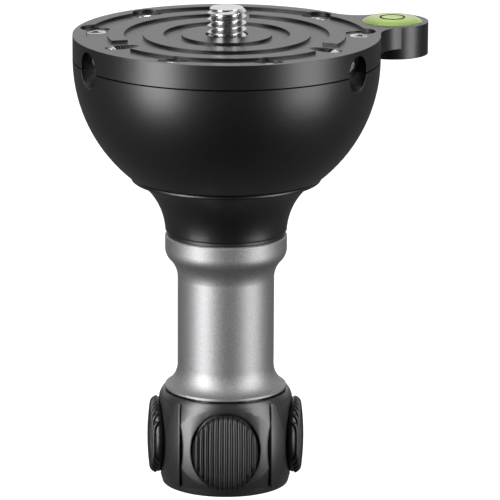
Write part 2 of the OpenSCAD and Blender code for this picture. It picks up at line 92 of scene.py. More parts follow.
plate_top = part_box("top_plate")[1].z
heading = VIEW_SIDE + math.pi / 2 - math.atan(AXIS_OFFSET_PIXELS / FOCAL_PIXELS)
turned = Matrix.Rotation(heading, 3, "Z") @ Matrix.Rotation(math.pi / 2 - VIEW_FALL, 3, "X")
camera_place = (VIEW_DISTANCE * math.cos(VIEW_SIDE), VIEW_DISTANCE * math.sin(VIEW_SIDE),
                plate_top + VIEW_HEIGHT)
bpy.ops.object.camera_add(location=camera_place)
camera = bpy.context.object
camera.rotation_euler = (turned @ Matrix.Rotation(VIEW_ROLL, 3, "Z")).to_euler()
camera.data.sensor_width = SENSOR_MM
camera.data.lens = FOCAL_PIXELS / PICTURE_PIXELS * SENSOR_MM
camera.data.clip_start = 0.05
bpy.context.scene.camera = camera
bpy.context.scene.view_settings.view_transform = "Standard"
print("camera:", [round(c, 4) for c in camera_place], "lens", round(camera.data.lens, 1), "mm")

# %% [markdown]
# ## Small helpers for nodes
# Every finish below is a small tree of shader nodes. One helper adds a node, sets its switches, and for
# each input either links a socket or writes a value. Another does one sum with two values. The third turns
# the sRGB colours that people write into the linear light that the renderer counts in, and the fourth gives
# a pattern its size in millimetres.

# %% Node helpers
def add(tree, kind, inputs=(), **switches):
    """Adds one node. An input given as a socket is linked, any other value is written on it."""
    node = tree.nodes.new(kind)
    for name, value in switches.items():
        setattr(node, name, value)
    for name, value in dict(inputs).items():
        if isinstance(value, bpy.types.NodeSocket):
            tree.links.new(value, node.inputs[name])
        else:
            node.inputs[name].default_value = value
    return node


def maths(tree, operation, first, second=0.0):
    """The result of one sum."""
    return add(tree, "ShaderNodeMath", {0: first, 1: second}, operation=operation).outputs["Value"]


def colour(code):
    """Linear colour with alpha from an sRGB code such as #808080."""
    parts = [int(code[i:i + 2], 16) / 255 for i in (1, 3, 5)]
    return tuple(c / 12.92 if c <= 0.04045 else ((c + 0.055) / 1.055) ** 2.4 for c in parts) + (1.0,)


def per_mm(size):
    """Texture scale at which one grain of a pattern is size millimetres wide."""
    return 1 / (size * MM)


print("mid grey #808080 is", round(colour("#808080")[0], 3), "in linear light")

# %% [markdown]
# ## The studio
# The object stands on a white sweep between two tall softboxes. On satin black metal the eye sees hardly
# anything but the reflections of those boxes, so where they stand matters more than how strong they are.
# Their lower halves reach below the table, because upright walls seen from above mirror what is below the
# horizon. The white behind the object is the colour of the background and not more light: camera, mirrored
# and refracted rays see it, and other rays see a dim room. The room is almost dark on the camera's side and
# a little brighter beside and behind the object, which keeps the edges of the black pieces visible.

# %% World
SWEEP_SIDE = VIEW_SIDE + math.pi
SWEEP_EDGE = (0.30, 0.75)
SWEEP_FOOT = (-0.02, 0.12)
ROOM_EDGE = (-0.65, 0.05)
ROOM_LIGHT = (0.015, 0.17)


def eased(tree, value, span, result=(0.0, 1.0)):
    """A smooth change between two results while a value crosses a span."""
    return add(tree, "ShaderNodeMapRange", {"Value": value, "From Min": span[0], "From Max": span[1],
                                            "To Min": result[0], "To Max": result[1]},
               interpolation_type="SMOOTHSTEP").outputs["Result"]


def looked_at(tree):
    """One for rays that come straight from the camera or through glass, and zero for all others."""
    path = add(tree, "ShaderNodeLightPath")
    return maths(tree, "MAXIMUM", path.outputs["Is Camera Ray"], path.outputs["Is Transmission Ray"])


world = bpy.data.worlds.new("studio_surround")
world.use_nodes = True
bpy.context.scene.world = world
tree = world.node_tree
tree.nodes.clear()
direction = add(tree, "ShaderNodeTexCoord").outputs["Generated"]
height = add(tree, "ShaderNodeSeparateXYZ", {"Vector": direction}).outputs["Z"]
sweep_way = (math.cos(SWEEP_SIDE), math.sin(SWEEP_SIDE), 0)
behind = add(tree, "ShaderNodeVectorMath", {0: direction, 1: sweep_way},
             operation="DOT_PRODUCT").outputs["Value"]
sweep = maths(tree, "MULTIPLY", eased(tree, behind, SWEEP_EDGE), eased(tree, height, SWEEP_FOOT))
glossy = add(tree, "ShaderNodeLightPath").outputs["Is Glossy Ray"]
white_share = maths(tree, "MAXIMUM", looked_at(tree), maths(tree, "MULTIPLY", glossy, sweep))
room = add(tree, "ShaderNodeBackground", {"Color": colour("#f6f6f8"),
                                          "Strength": eased(tree, behind, ROOM_EDGE, ROOM_LIGHT)})
white = add(tree, "ShaderNodeBackground", {"Color": colour("#ffffff"), "Strength": 1.0})
surround = add(tree, "ShaderNodeMixShader", {"Fac": white_share, 1: room.outputs["Background"],
                                             2: white.outputs["Background"]})
add(tree, "ShaderNodeOutputWorld", {"Surface": surround.outputs["Shader"]})
print("world:", len(tree.nodes), "nodes")

# %% [markdown]
# A softbox is an area lamp turned to face the object. Each one is given by its angle from the camera as
# seen from the object, because that angle is what decides where its reflection falls on a round piece.

# %% Lamps
AIM = Vector((0, 0, 60 * MM))


def softbox(name, side, rise, distance, width, tall, watts):
    """An area lamp at an angle to the right of the camera, facing the object."""
    angle = VIEW_SIDE + math.radians(side)
    lift = math.radians(rise)
    out = Vector((math.cos(angle) * math.cos(lift), math.sin(angle) * math.cos(lift), math.sin(lift)))
    bpy.ops.object.light_add(type="AREA", location=AIM + out * distance)
    lamp = bpy.context.object
    lamp.name = name
    lamp.rotation_euler = out.to_track_quat("Z", "Y").to_euler()
    lamp.data.shape = "RECTANGLE"
    lamp.data.size = width
    lamp.data.size_y = tall
    lamp.data.energy = watts
    lamp.visible_camera = False
    print(name, "radiance", round(watts / (math.pi * width * tall), 2))


softbox("key_softbox", side=-52, rise=14, distance=1.0, width=0.5, tall=1.5, watts=29.0)
softbox("side_softbox", side=62, rise=14, distance=1.0, width=0.6, tall=1.5, watts=19.8)
softbox("top_softbox", side=180, rise=75, distance=1.0, width=0.8, tall=0.8, watts=2.0)

# %% [markdown]
# The floor is a flat disc. Camera rays see it as plain white, as in a picture cut out for a catalogue, other
# rays see grey paper, and reflections look past it to the softboxes. The knob comes down by the travel of
# the clamp when it is opened, so the floor lies that much lower and never hides it.

# %% Floor
FLOOR_RADIUS = 3.0
CLAMP_ROOM = 11 * MM

bpy.ops.mesh.primitive_circle_add(vertices=96, radius=FLOOR_RADIUS, fill_type="NGON",
                                  location=(0, 0, cad_box[0].z - CLAMP_ROOM))
floor = bpy.context.object
floor.name = "floor"
floor.visible_glossy = False
floor.visible_shadow = False
floor_white = bpy.data.materials.new("white_sweep_paper")
floor_white.use_nodes = True
tree = floor_white.node_tree
tree.nodes.clear()
lit = add(tree, "ShaderNodeBsdfDiffuse", {"Color": colour("#898989")})
own = add(tree, "ShaderNodeEmission", {"Color": colour("#ffffff"), "Strength": looked_at(tree)})
paper = add(tree, "ShaderNodeAddShader", {0: lit.outputs["BSDF"], 1: own.outputs["Emission"]})
add(tree, "ShaderNodeOutputMaterial", {"Surface": paper.outputs["Shader"]})
floor.data.materials.append(floor_white)
print("floor radius", FLOOR_RADIUS, "m")

# %% [markdown]
# ## Finishes
# Each finish starts from what the surface really is and how it was made. One helper clears a new material
# and leaves one shader in it, with the object's own coordinates ready for patterns. No real surface is quite
# even, so another makes a mottle: a noise with a grain in millimetres, and a colour that follows it. The
# rest let a roughness follow the same noise, round off edges and press pits into the surface.

# %% Finish helpers
def finish(name, **constants):
    """A new material with one Principled shader. Constants are written on the shader's own sockets."""
    made = bpy.data.materials.new(name)
    made.use_nodes = True
    made.node_tree.nodes.clear()
    shader = add(made.node_tree, "ShaderNodeBsdfPrincipled",
                 {key.replace("_", " "): value for key, value in constants.items()})
    add(made.node_tree, "ShaderNodeOutputMaterial", {"Surface": shader.outputs["BSDF"]})
    place = add(made.node_tree, "ShaderNodeTexCoord").outputs["Object"]
    return made, made.node_tree, shader, place


def mottle(tree, place, size, detail, dark, light):
    """A noise with a grain of size millimetres, and a colour between two codes that follows it."""
    noise = add(tree, "ShaderNodeTexNoise", {"Vector": place, "Scale": per_mm(size), "Detail": detail})
    tone = add(tree, "ShaderNodeMix", {"Factor": noise.outputs["Fac"], "A": colour(dark), "B": colour(light)},
               data_type="RGBA")
    return noise.outputs["Fac"], tone.outputs[2]


def spread(tree, noise, low, high):
    """A value that follows a noise from low to high."""
    return add(tree, "ShaderNodeMapRange", {"Value": noise, "To Min": low, "To Max": high}).outputs["Result"]


def round_edges(tree, radius):
    """A normal that rounds off edges by a radius in millimetres."""
    return add(tree, "ShaderNodeBevel", {"Radius": radius * MM}, samples=6).outputs["Normal"]


def pitted(tree, noise, strength, depth, normal):
    """A normal with pits where a noise is low, their depth in millimetres."""
    return add(tree, "ShaderNodeBump", {"Height": noise, "Strength": strength, "Distance": depth * MM,
                                        "Normal": normal}).outputs["Normal"]


def connect(tree, shader, values):
    """Links each value to the shader's socket of that name."""
    for socket, value in values.items():
        tree.links.new(value, shader.inputs[socket])


def dress(made, *names):
    """Puts a finish on CAD nodes."""
    for name in names:
        nodes[name].data.materials.clear()
        nodes[name].data.materials.append(made)
    print(made.name, "on", ", ".join(names))


# %% [markdown]
# Satin black anodised aluminium covers the plate, the half ball and the collar. The metal is blasted with
# fine glass beads and then dyed in its oxide skin, so the eye sees a black that is soft and even, with a
# faint grain and small bright edges where the corners were broken. The dyed oxide behaves like a dark clear
# coat, so the shader is a dielectric with the index of aluminium oxide. The bead pits are far finer than a
# pixel and are drawn at 0.3 mm. Faces that look up get about twice the shine of the sides: a painted sheen
# that makes the tops lighter.

# %% Black anodised aluminium
PIT_MM = 0.3
FACES_UP = (0.6, 0.95)
# Shine of the sides and of the faces that look up; the higher top value is a painted sheen.
ROUGHNESS = (0.37, 0.38)
PAINTED_TOP_SHEEN = (0.33, 0.70)
ROUGHNESS_STRAY = 0.03


def side_or_top(tree, upward, values):
    """The first of two values on the sides, and the second on faces that look up."""
    return add(tree, "ShaderNodeMapRange", {"Value": upward, "From Min": FACES_UP[0], "From Max": FACES_UP[1],
                                            "To Min": values[0], "To Max": values[1]}).outputs["Result"]


black_anodised, tree, shader, place = finish("anodised_aluminium_black_blasted", Metallic=0.0, IOR=1.65)
pits, tone = mottle(tree, place, PIT_MM, 2.0, "#020203", "#070708")
facing = add(tree, "ShaderNodeTexCoord").outputs["Normal"]
upward = add(tree, "ShaderNodeSeparateXYZ", {"Vector": facing}).outputs["Z"]
# Painted sheen: faces that look up reflect more than the sides, which lightens the tops.
painted_top_sheen = side_or_top(tree, upward, PAINTED_TOP_SHEEN)
gloss = maths(tree, "ADD", side_or_top(tree, upward, ROUGHNESS),
              spread(tree, pits, -ROUGHNESS_STRAY, ROUGHNESS_STRAY))
connect(tree, shader, {"Base Color": tone, "Roughness": gloss,
                       "Normal": pitted(tree, pits, 1.0, 0.02, round_edges(tree, 0.25))})
dress(black_anodised, "top_plate", "half_ball", "clamp_collar")

# %% [markdown]
# Where the plate lies on the ball, a hair-thin line of painted shade marks the seam, in place of the shade of
# a groove there. The line is finer than a pixel and isn't cut into the mesh: the shine of the same finish
# fades out in a line at the height and the radius of that seam, which leaves a dark painted line.

# %% Painted shade line at the seam of the plate
# Width of the painted shade line at the seam, from full shade to none, in millimetres.
SEAM_SHADE_MM = (0.13, 0.24)
seam_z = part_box("half_ball")[1].z
rim_r = -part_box("half_ball")[0].x

spot = add(tree, "ShaderNodeVectorMath", {0: place, 1: (1, 1, 0)}, operation="MULTIPLY").outputs["Vector"]
radius = add(tree, "ShaderNodeVectorMath", {0: spot}, operation="LENGTH").outputs["Value"]
height = add(tree, "ShaderNodeSeparateXYZ", {"Vector": place}).outputs["Z"]
above = maths(tree, "ABSOLUTE", maths(tree, "SUBTRACT", height, seam_z))
outside = maths(tree, "ABSOLUTE", maths(tree, "SUBTRACT", radius, rim_r))
away = maths(tree, "MAXIMUM", above, outside)
# Painted shade mask: zero on the seam line and one away from it.
outside_painted_seam_shade = add(tree, "ShaderNodeMapRange", {"Value": away, "From Min": SEAM_SHADE_MM[0] * MM,
                                             "From Max": SEAM_SHADE_MM[1] * MM}).outputs["Result"]
# Painted shade: the shine drops to nothing in a thin line along the seam.
connect(tree, shader, {"Specular IOR Level": maths(tree, "MULTIPLY", outside_painted_seam_shade, painted_top_sheen)})
print("seam at height", round(seam_z / MM, 2), "mm and radius", round(rim_r / MM, 2), "mm")

# %% [markdown]
# The sleeve is the same aluminium, blasted coarser and anodised without dye. Its grey is the metal itself,
# so the shader is a metal, and the blasting spreads each softbox into a broad band with a visible grain.

# %% Grey anodised aluminium
grey_anodised, tree, shader, place = finish("anodised_aluminium_grey_blasted", Metallic=1.0)
pits, tone = mottle(tree, place, 0.35, 3.0, "#6a6a6b", "#9f9fa0")
connect(tree, shader, {"Base Color": tone, "Roughness": spread(tree, pits, 0.47, 0.58),
                       "Normal": pitted(tree, pits, 0.5, 0.02, round_edges(tree, 0.12))})
dress(grey_anodised, "handle_sleeve")

# %% [markdown]
# The stud and the screws are bright plated steel: a smooth metal that mirrors the room in hard black and
# white, a little uneven from the turning under the plating.

# %% Bright plated steel
bright_steel, tree, shader, place = finish("steel_turned_bright_plated", Metallic=1.0)
cloud, tone = mottle(tree, place, 0.5, 3.0, "#b9b9bb", "#dededf")
connect(tree, shader, {"Base Color": tone, "Roughness": spread(tree, cloud, 0.14, 0.26)})
dress(bright_steel, "stud_nut", "rod_washer", "knob_washer", "draw_rod")

# %% [markdown]
# The small set screws in the rim are only zinc plated, which leaves the steel silvery but dull.

# %% Zinc plated steel
zinc_steel, tree, shader, place = finish("steel_zinc_plated", Metallic=1.0)
spangle, tone = mottle(tree, place, 0.4, 2.0, "#c4c5c8", "#e6e7ea")
connect(tree, shader, {"Base Color": tone, "Roughness": spread(tree, spangle, 0.36, 0.5)})
print(zinc_steel.name, "for the set screws")

# %% [markdown]
# The knob is glass-filled nylon moulded in a spark-eroded tool: a dark grey black, with a fine even texture
# that spreads the light of the softboxes.

# %% Moulded nylon
moulded_nylon, tree, shader, place = finish("nylon_glass_filled_moulded_black", Metallic=0.0, IOR=1.57)
spark, tone = mottle(tree, place, 0.3, 2.0, "#0e0e0f", "#181819")
connect(tree, shader, {"Base Color": tone, "Roughness": spread(tree, spark, 0.30, 0.40),
                       "Normal": pitted(tree, spark, 0.4, 0.015, round_edges(tree, 0.5))})
dress(moulded_nylon, "lock_knob")

# %% [markdown]
# The grips are black rubber pressed in a mould: darker than the knob, with a dull skin.

# %% Moulded rubber
moulded_rubber, tree, shader, place = finish("rubber_moulded_black", Metallic=0.0, IOR=1.52,
                                             Specular_IOR_Level=0.36)
skin, tone = mottle(tree, place, 0.4, 2.0, "#070708", "#111112")
connect(tree, shader, {"Base Color": tone, "Roughness": spread(tree, skin, 0.28, 0.4),
                       "Normal": round_edges(tree, 0.15)})
print(moulded_rubber.name, "for the grips")

# %% [markdown]
# Between the collar and the sleeve lies a thin slip ring of black acetal, so that metal never rubs on metal.

# %% Black acetal
black_acetal, tree, shader, place = finish("acetal_turned_black", Metallic=0.0, IOR=1.48)
cloud, tone = mottle(tree, place, 1.0, 2.0, "#060606", "#0e0e0e")
connect(tree, shader, {"Base Color": tone, "Roughness": spread(tree, cloud, 0.35, 0.5)})
dress(black_acetal, "slip_ring")

# %% [markdown]
# Inside the handle run natural nylon bushes and a brass thread insert. They hardly show, but a reader who
# takes the model apart will see them.

# %% Natural nylon and brass
natural_nylon, tree, shader, place = finish("nylon_natural_turned", Metallic=0.0, IOR=1.53)
cloud, tone = mottle(tree, place, 3.0, 3.0, "#d9d5c6", "#ece9dd")
connect(tree, shader, {"Base Color": tone, "Roughness": spread(tree, cloud, 0.4, 0.55)})
dress(natural_nylon, "upper_bush", "lower_bush")

turned_brass, tree, shader, place = finish("brass_turned", Metallic=1.0)
cloud, tone = mottle(tree, place, 1.0, 3.0, "#b8963f", "#d8b862")
connect(tree, shader, {"Base Color": tone, "Roughness": spread(tree, cloud, 0.25, 0.4)})
dress(turned_brass, "knob_insert")

# %% [markdown]
# The bubble level is a clear acrylic cup over a yellow-green fluid, with a black ring printed on its window.
# Lamp light reaches the fluid through the cup. A path tracer finds such bent light only by luck, so for
# shadow and diffuse rays both clear materials let the light pass straight through.

# %% Clear cup and fluid
def let_light_in(tree, shader, tint):
    """Lets shadow and diffuse rays pass through a clear material."""
    path = add(tree, "ShaderNodeLightPath")
    lit = maths(tree, "MAXIMUM", path.outputs["Is Shadow Ray"], path.outputs["Is Diffuse Ray"])
    open_way = add(tree, "ShaderNodeBsdfTransparent", {"Color": colour(tint)})
    both = add(tree, "ShaderNodeMixShader", {"Fac": lit, 1: shader.outputs["BSDF"],
                                             2: open_way.outputs["BSDF"]})
    output = next(node for node in tree.nodes if node.type == "OUTPUT_MATERIAL")
    tree.links.new(both.outputs["Shader"], output.inputs["Surface"])


clear_acrylic, tree, shader, place = finish("acrylic_moulded_clear", Metallic=0.0, IOR=1.49,
                                            Transmission_Weight=1.0)
cloud, tone = mottle(tree, place, 2.0, 2.0, "#f2faf0", "#ffffff")
connect(tree, shader, {"Base Color": tone, "Roughness": spread(tree, cloud, 0.0, 0.03)})
let_light_in(tree, shader, "#ffffff")
print(clear_acrylic.name, "for the cup of the level")

level_fluid, tree, shader, place = finish("spirit_dyed_yellow_green", Metallic=0.0, IOR=1.36,
                                          Transmission_Weight=1.0)
cloud, tone = mottle(tree, place, 4.0, 2.0, "#dcec70", "#e8f594")
connect(tree, shader, {"Base Color": tone})
let_light_in(tree, shader, "#f4ffb0")
dress(level_fluid, "vial_fluid")

# %% [markdown]
# Under the fluid lies a moulded base disc in the same lime, which gives the level its colour. The ring is
# screen printed in black ink, which is flat and dull.

# %% Base and ring of the level
base_lime, tree, shader, place = finish("polystyrene_moulded_lime", Metallic=0.0, IOR=1.59)
cloud, tone = mottle(tree, place, 2.0, 2.0, "#cfe040", "#dcea66")
connect(tree, shader, {"Base Color": tone})
dress(base_lime, "vial_base")

printed_ink, tree, shader, place = finish("ink_screen_printed_black", Metallic=0.0, IOR=1.5, Roughness=0.9,
                                          Specular_IOR_Level=0.1)
cloud, tone = mottle(tree, place, 0.3, 2.0, "#050505", "#0d0d0d")
connect(tree, shader, {"Base Color": tone})
dress(printed_ink, "vial_mark")

# %% [markdown]
# ## Modelling tools
# The pieces below are turned, threaded or moulded, so a few tools repeat. A wire is drawn by pulling one
# vertex along with extrude, the way a pencil draws half of a turned shape. Spinning that wire makes a solid,
# a Boolean cuts or adds another solid, and every piece is cleaned the same way: doubles merged first, then
# the normals turned outwards.

# %% Tools that choose, clean and copy
SMOOTH_ANGLE = math.radians(32)
OVER = 0.2


def choose(*pieces):
    """Makes some objects the only selected ones, and the first of them active."""
    bpy.ops.object.select_all(action="DESELECT")
    for piece in pieces:
        piece.select_set(True)
    bpy.context.view_layer.objects.active = pieces[0]


def discard(piece):
    """Deletes an object that was only a pattern or a tool."""
    choose(piece)
    bpy.ops.object.delete()


def clean(piece):
    """Merges doubles and turns the normals outwards."""
    choose(piece)
    bpy.ops.object.mode_set(mode="EDIT")
    bpy.ops.mesh.select_all(action="SELECT")
    bpy.ops.mesh.remove_doubles(threshold=0.001 * MM)
    bpy.ops.mesh.normals_make_consistent(inside=False)
    bpy.ops.object.mode_set(mode="OBJECT")


def copied(piece, place, turn):
    """A copy with its own mesh, turned and then moved."""
    choose(piece)
    bpy.ops.object.duplicate()
    copy = bpy.context.object
    copy.rotation_euler = turn
    copy.location = place
    bpy.ops.object.transform_apply(location=True, rotation=True, scale=True)
    return copy


def install(piece, made, body, slot, *replaced):
    """Gives a finished piece its finish and its place in the frame."""
    choose(piece)
    bpy.ops.object.transform_apply(location=True, rotation=True, scale=True)
    bpy.ops.object.shade_smooth_by_angle(angle=SMOOTH_ANGLE)
    piece.data.materials.clear()
    piece.data.materials.append(made)
    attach(piece, body)
    if replaced:
        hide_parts(*replaced)
    print(piece.name, len(piece.data.polygons), "faces on", body, "for", replaced)


# %% Tools that make solids
def wire(name, points):
    """A wire through points (radius, height) in millimetres."""
    bpy.ops.object.select_all(action="DESELECT")
    bpy.ops.mesh.primitive_plane_add(size=MM)
    piece = bpy.context.object
    piece.name = name
    bpy.ops.object.mode_set(mode="EDIT")
    bpy.ops.mesh.select_all(action="SELECT")
    bpy.ops.mesh.merge(type="CENTER")
    bpy.ops.transform.translate(value=(points[0][0] * MM, 0, points[0][1] * MM))
    for start, end in zip(points, points[1:]):
        step = ((end[0] - start[0]) * MM, 0, (end[1] - start[1]) * MM)
        bpy.ops.mesh.extrude_vertices_move(TRANSFORM_OT_translate={"value": step})
    bpy.ops.object.mode_set(mode="OBJECT")
    return piece


def lathe(name, points, steps=64):
    """A solid turned about Z from a wire that starts and ends on the axis, or closes on itself."""
    piece = wire(name, points)
    bpy.ops.object.mode_set(mode="EDIT")
    bpy.ops.mesh.select_all(action="SELECT")
    bpy.ops.mesh.spin(steps=steps, angle=2 * math.pi, center=(0, 0, 0), axis=(0, 0, 1))
    bpy.ops.object.mode_set(mode="OBJECT")
    clean(piece)
    return piece


def combine(piece, tool, operation, many=False):
    """Cuts, keeps or adds a second solid, which is used up. Many says that the solids have several shells."""
    choose(piece)
    cutter = piece.modifiers.new("combine", "BOOLEAN")
    cutter.operation = operation
    cutter.solver = "EXACT"
    cutter.use_self = many
    cutter.object = tool
    bpy.ops.object.modifier_apply(modifier="combine")
    discard(tool)
    clean(piece)


def thread(name, core, crest, pitch, foot, top, steps=64, lag=0.0):
    """A threaded bar with flat roots and crests an eighth of the pitch wide, its helix lowered by a lag."""
    flat = pitch / 16
    start = foot - pitch - lag
    middle = start + pitch / 2
    piece = wire(name, [(core, start), (core, start + flat), (crest, middle - flat), (crest, middle + flat),
                        (core, start + pitch - flat), (core, start + pitch)])
    turns = piece.modifiers.new("turns", "SCREW")
    turns.steps = steps
    turns.render_steps = steps
    turns.screw_offset = pitch * MM
    turns.iterations = math.ceil((top - foot + lag) / pitch) + 2
    bpy.ops.object.modifier_apply(modifier="turns")
    clean(piece)
    bpy.ops.object.mode_set(mode="EDIT")
    for height, ends in ((foot, {"clear_inner": True}), (top, {"clear_outer": True})):
        bpy.ops.mesh.select_all(action="SELECT")
        bpy.ops.mesh.bisect(plane_co=(0, 0, height * MM), plane_no=(0, 0, 1), use_fill=True, threshold=1e-7,
                            **ends)
    bpy.ops.object.mode_set(mode="OBJECT")
    clean(piece)
    return piece


def cut_socket(piece, width, deep, height):
    """Cuts a hexagon socket, given by its width across flats, into the end of a screw at a height."""
    bpy.ops.mesh.primitive_cylinder_add(vertices=6, radius=width / 2 / math.cos(math.pi / 6) * MM,
                                        depth=2 * deep * MM, location=(0, 0, height * MM))
    combine(piece, bpy.context.object, "DIFFERENCE")


# %% [markdown]
# ## The head stud
# The stud carries the tripod head on a 3/8 inch thread with 16 turns to the inch. On the real piece the
# thread is cut as a helix, which starts under the top face and fades into a cone there. Rings would look
# right from afar, but the light runs along a helix differently, so the thread is made with a Screw modifier,
# cut square at both ends, and then turned down to a cone at the top by keeping only what lies in a blank.

# %% Head stud
STUD_PITCH = 25.4 / 16
STUD_DEPTH = 0.9
STUD_TOP_R = 3.95
STUD_SHANK_R = 4.4
STUD_SHANK_CONE = 0.5
STUD_SUNK = 0.6
STUD_LAG = 0.43

stud_low, stud_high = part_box("head_stud")
stud_r = (stud_high.x - stud_low.x) / 2 / MM
stud_top = stud_high.z / MM
stud_foot = stud_low.z / MM
thread_foot = plate_top / MM - STUD_SUNK
stud = thread("threaded_stud", stud_r - STUD_DEPTH, stud_r, STUD_PITCH, thread_foot, stud_top, lag=STUD_LAG)
blank = lathe("stud_blank", [(0, thread_foot - 1), (stud_r + OVER, thread_foot - 1),
                             (stud_r + OVER, stud_top - stud_r - OVER + STUD_TOP_R),
                             (STUD_TOP_R - OVER, stud_top + OVER), (0, stud_top + OVER)])
combine(stud, blank, "INTERSECT")
shank = lathe("stud_shank", [(0, stud_foot), (STUD_SHANK_R - STUD_SHANK_CONE, stud_foot),
                             (STUD_SHANK_R, stud_foot + STUD_SHANK_CONE), (STUD_SHANK_R, thread_foot + OVER),
                             (0, thread_foot + OVER)])
combine(stud, shank, "UNION")
install(stud, bright_steel, "head", "stud", "head_stud")

# %% [markdown]
# ## The plate screws
# Six small screws hold the plate down. Each head is a flat countersunk disc with a broken edge and a hexagon
# socket, pressed cold and then plated. One screw is turned, its socket is cut with a six-sided bar, and six
# copies go round the plate in pairs, each stopped at another angle as a driver leaves it.

# %% One plate screw
SCREW_HEAD_R = 2.8
SCREW_EDGE = 0.18
SCREW_R = 1.5
SCREW_TIP = 0.4
SCREW_KEY = 2.0
SCREW_KEY_DEEP = 1.2
SCREW_SOFT = 0.05

screw_low, screw_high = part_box("plate_screws")
head_z = screw_high.z / MM
tip_z = screw_low.z / MM
screw = lathe("plate_screw", [(0, head_z), (SCREW_HEAD_R - 2 * SCREW_EDGE, head_z),
                              (SCREW_HEAD_R - SCREW_EDGE, head_z - SCREW_EDGE),
                              (SCREW_R, head_z - SCREW_HEAD_R + SCREW_R), (SCREW_R, tip_z + SCREW_TIP),
                              (SCREW_R - SCREW_TIP, tip_z), (0, tip_z)], steps=48)
cut_socket(screw, SCREW_KEY, SCREW_KEY_DEEP, head_z)
choose(screw)
soft = screw.modifiers.new("soft_edges", "BEVEL")
soft.width = SCREW_SOFT * MM
soft.segments = 2
bpy.ops.object.modifier_apply(modifier="soft_edges")
print("one screw has", len(screw.data.polygons), "faces")

# %% Six plate screws
SCREW_CIRCLE_R = 32.7
SCREW_FIRST = 4.5
SCREW_HALF = 20.5
SCREW_STOP = 23

screws = []
for pair in range(3):
    for side in (-1, 1):
        angle = math.radians(SCREW_FIRST + 120 * pair + side * SCREW_HALF)
        place = (SCREW_CIRCLE_R * MM * math.cos(angle), SCREW_CIRCLE_R * MM * math.sin(angle), 0)
        screws.append(copied(screw, place, (0, 0, math.radians(SCREW_STOP * len(screws)))))
discard(screw)
choose(*screws)
bpy.ops.object.join()
screws[0].name = "countersunk_screws"
install(screws[0], bright_steel, "head", "fastener", "plate_screws")

# %% [markdown]
# ## The lock screws
# Three set screws lie in slanting holes in the rim. Turned in with a hex key they press on the head that is
# screwed to the stud and keep it from coming loose. Each is a short M4 thread with coned ends and a socket
# in the outer end. The joint's own axis tells which way a screw points, and the solid's box gives its middle.

# %% Lock screws
LOCK_R = 2.0
LOCK_DEPTH = 0.35
LOCK_PITCH = 0.7
LOCK_LENGTH = 6.0
LOCK_CONE = 0.5
LOCK_KEY = 2.0
LOCK_KEY_DEEP = 2.0

half = LOCK_LENGTH / 2
end_r = LOCK_R - LOCK_CONE - OVER
set_screw = thread("set_screw", LOCK_R - LOCK_DEPTH, LOCK_R, LOCK_PITCH, -half, half, steps=40)
blank = lathe("set_screw_blank", [(0, -half - OVER), (end_r, -half - OVER),
                                  (LOCK_R + OVER, -half + LOCK_CONE + OVER),
                                  (LOCK_R + OVER, half - LOCK_CONE - OVER), (end_r, half + OVER),
                                  (0, half + OVER)], steps=40)
combine(set_screw, blank, "INTERSECT")
cut_socket(set_screw, LOCK_KEY, LOCK_KEY_DEEP, -half)
slides = {joint["name"]: Vector(joint["axis"]) for joint in frame["record"]["behaviour"]["joints"]}
for letter in "abc":
    low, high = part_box("lock_screw_" + letter)
    turn = slides["lock_" + letter + "_travel"].to_track_quat("Z", "Y").to_euler()
    copy = copied(set_screw, (Vector(low) + Vector(high)) / 2, turn)
    copy.name = "set_screw_" + letter
    install(copy, zinc_steel, "lock_" + letter, "fastener", "lock_screw_" + letter)
discard(set_screw)

# %% [markdown]
# ## The rubber grips
# Four oval rubber pads sit in pockets of the knob. Rubber comes out of its mould with full round edges, and
# half-round ribs run up the face and curl over its edge at both ends. All of it follows a bulging barrel, so
# the first tools turn that barrel and draw an oval in front of it, which can be pulled in to make a solid.

# %% Barrel and oval of a grip
KNOB_TURN = -22.7
PAD_W = 17.0
PAD_R = 19.4
PAD_ARC_R = 64.0
PAD_BULGE_Z = 11.3
BARREL_STEPS = 16
BARREL_OVER = 1.0

pad_low, pad_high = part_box("grip_pad_d")
pad_z = (pad_low.z + pad_high.z) / 2 / MM
pad_h = (pad_high.z - pad_low.z) / MM
quarters = [math.radians(KNOB_TURN + 90 * quarter) for quarter in range(4)]


def barrel(name, reach):
    """A turned barrel with the bulge of the pads, as wide as the reach at its middle."""
    arc = PAD_ARC_R - PAD_R + reach
    foot = pad_z - pad_h / 2 - BARREL_OVER
    heights = [foot + (pad_h + 2 * BARREL_OVER) * k / BARREL_STEPS for k in range(BARREL_STEPS + 1)]
    side = [(reach - arc + math.sqrt(arc ** 2 - (z - PAD_BULGE_Z) ** 2), z) for z in heights]
    return lathe(name, [(0, heights[0])] + side + [(0, heights[-1])], steps=128)


def oval(name, inset, fill):
    """An oval outline in front of the knob, smaller than the pad by an inset."""
    centre = (2 * PAD_R * MM, 0, pad_z * MM)
    bpy.ops.object.select_all(action="DESELECT")
    bpy.ops.mesh.primitive_circle_add(vertices=96, radius=(PAD_W / 2 - inset) * MM, fill_type=fill,
                                      rotation=(0, math.pi / 2, 0), location=centre)
    ring = bpy.context.object
    ring.name = name
    bpy.ops.object.mode_set(mode="EDIT")
    bpy.ops.transform.resize(value=(1, 1, (pad_h / 2 - inset) / (PAD_W / 2 - inset)), orient_type="GLOBAL",
                             center_override=centre)
    bpy.ops.object.mode_set(mode="OBJECT")
    bpy.ops.object.transform_apply(location=True, rotation=True, scale=True)
    return ring


def pull_in(ring, depth):
    """Pulls a filled oval in to a distance from the knob's axis, which makes it a solid."""
    choose(ring)
    bpy.ops.object.mode_set(mode="EDIT")
    bpy.ops.mesh.select_all(action="SELECT")
    bpy.ops.mesh.extrude_region_move(TRANSFORM_OT_translate={"value": ((depth - 2 * PAD_R) * MM, 0, 0)})
    bpy.ops.object.mode_set(mode="OBJECT")
    clean(ring)


